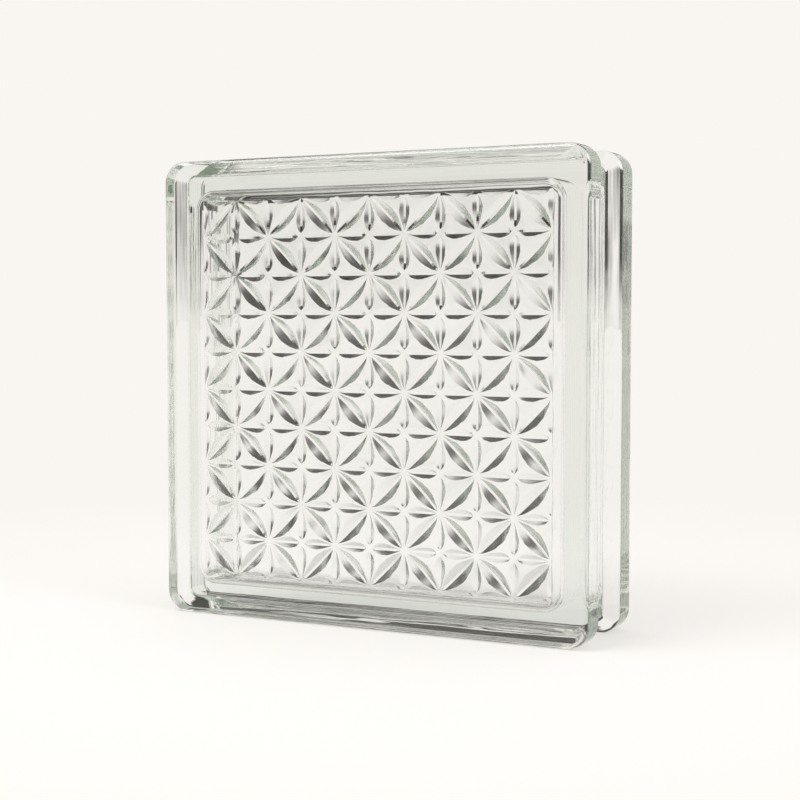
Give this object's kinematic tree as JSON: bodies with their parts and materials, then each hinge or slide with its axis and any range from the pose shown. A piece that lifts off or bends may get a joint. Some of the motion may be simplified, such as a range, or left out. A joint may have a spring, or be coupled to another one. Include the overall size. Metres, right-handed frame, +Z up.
{
  "type": "glass block",
  "caption": "Square hollow glass block with a star lattice pressed inside its front pane and a mortar key groove round its edges.",
  "frame": {"origin": "centre of the block's footprint, on the floor that its lower rims stand on", "axes": "+Z up; the front face, with the lattice behind it, looks towards -Y; the width runs along X"},
  "size_m": [0.19, 0.05, 0.19],
  "materials": {
    "clear_glass": "clear pressed glass, fire-polished, with a faint grey-green tint at thick edges"
  },
  "bodies": {
    "root": {"glass_block": "clear_glass"}
  },
  "joints": []
}
